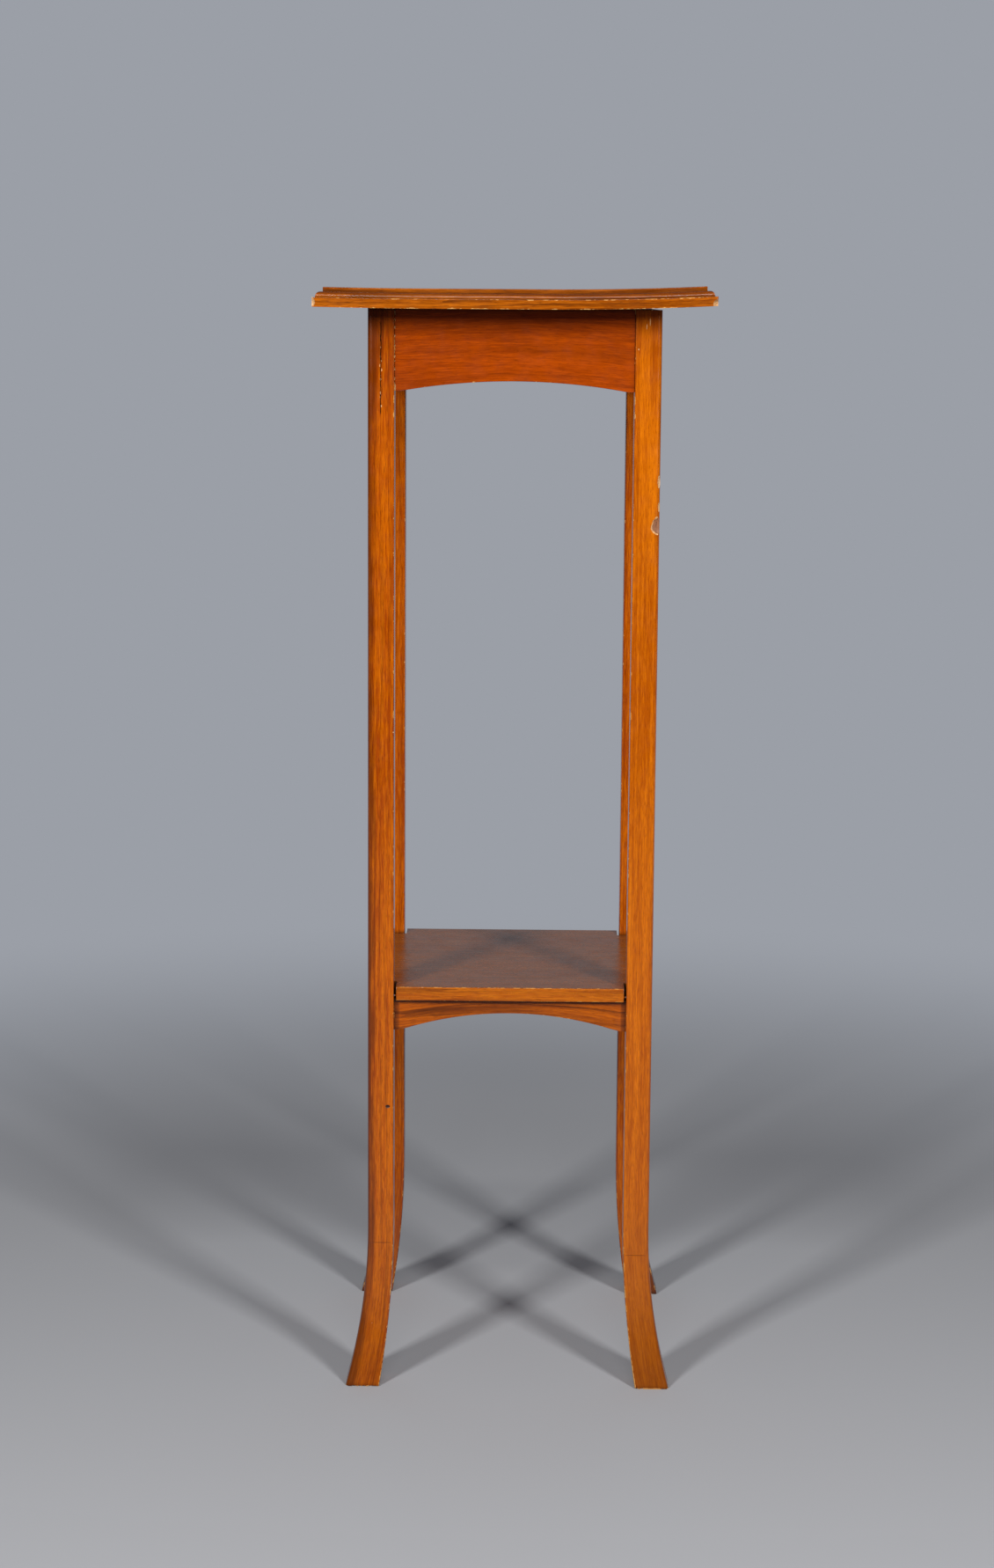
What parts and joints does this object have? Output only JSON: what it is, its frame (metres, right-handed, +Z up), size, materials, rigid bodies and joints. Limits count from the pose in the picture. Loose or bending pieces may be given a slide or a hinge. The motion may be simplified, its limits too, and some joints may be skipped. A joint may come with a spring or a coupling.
{
  "type": "wooden plant stand",
  "caption": "Tall square wooden plant stand with a moulded top, slender legs with swept feet, arched aprons and a low shelf on arched rails.",
  "frame": {"origin": "on the floor, in the middle of the four feet", "axes": "+Z up, the front faces -Y and +X is to the right as seen from the front"},
  "size_m": [0.356, 0.356, 1.0195],
  "materials": {
    "top_board": "old shellac polish on orange-brown hardwood, worn pale on the arrises",
    "shelf_board": "old shellac polish on orange-brown hardwood, a little dusty",
    "leg": "shellac polish over an orange-red stain, long grain up the leg",
    "apron": "shellac polish over an orange-red stain, long grain from side to side",
    "shelf_rail": "shellac polish over an orange-red stain, long grain from side to side",
    "corner_block": "sawn softwood, bare and darkened with age",
    "dowel": "beech, bare",
    "screw": "plain steel, dulled with age"
  },
  "bodies": {
    "root": {"top_board": "top_board", "shelf_board": "shelf_board", "front_left_leg": "leg", "front_right_leg": "leg", "rear_left_leg": "leg", "rear_right_leg": "leg", "front_apron": "apron", "right_apron": "apron", "rear_apron": "apron", "left_apron": "apron", "front_shelf_rail": "shelf_rail", "right_shelf_rail": "shelf_rail", "rear_shelf_rail": "shelf_rail", "left_shelf_rail": "shelf_rail", "front_left_corner_block": "corner_block", "front_right_corner_block": "corner_block", "rear_left_corner_block": "corner_block", "rear_right_corner_block": "corner_block", "apron_dowels": "dowel", "rail_dowels": "dowel", "top_screws": "screw", "shelf_screws": "screw"}
  },
  "joints": []
}
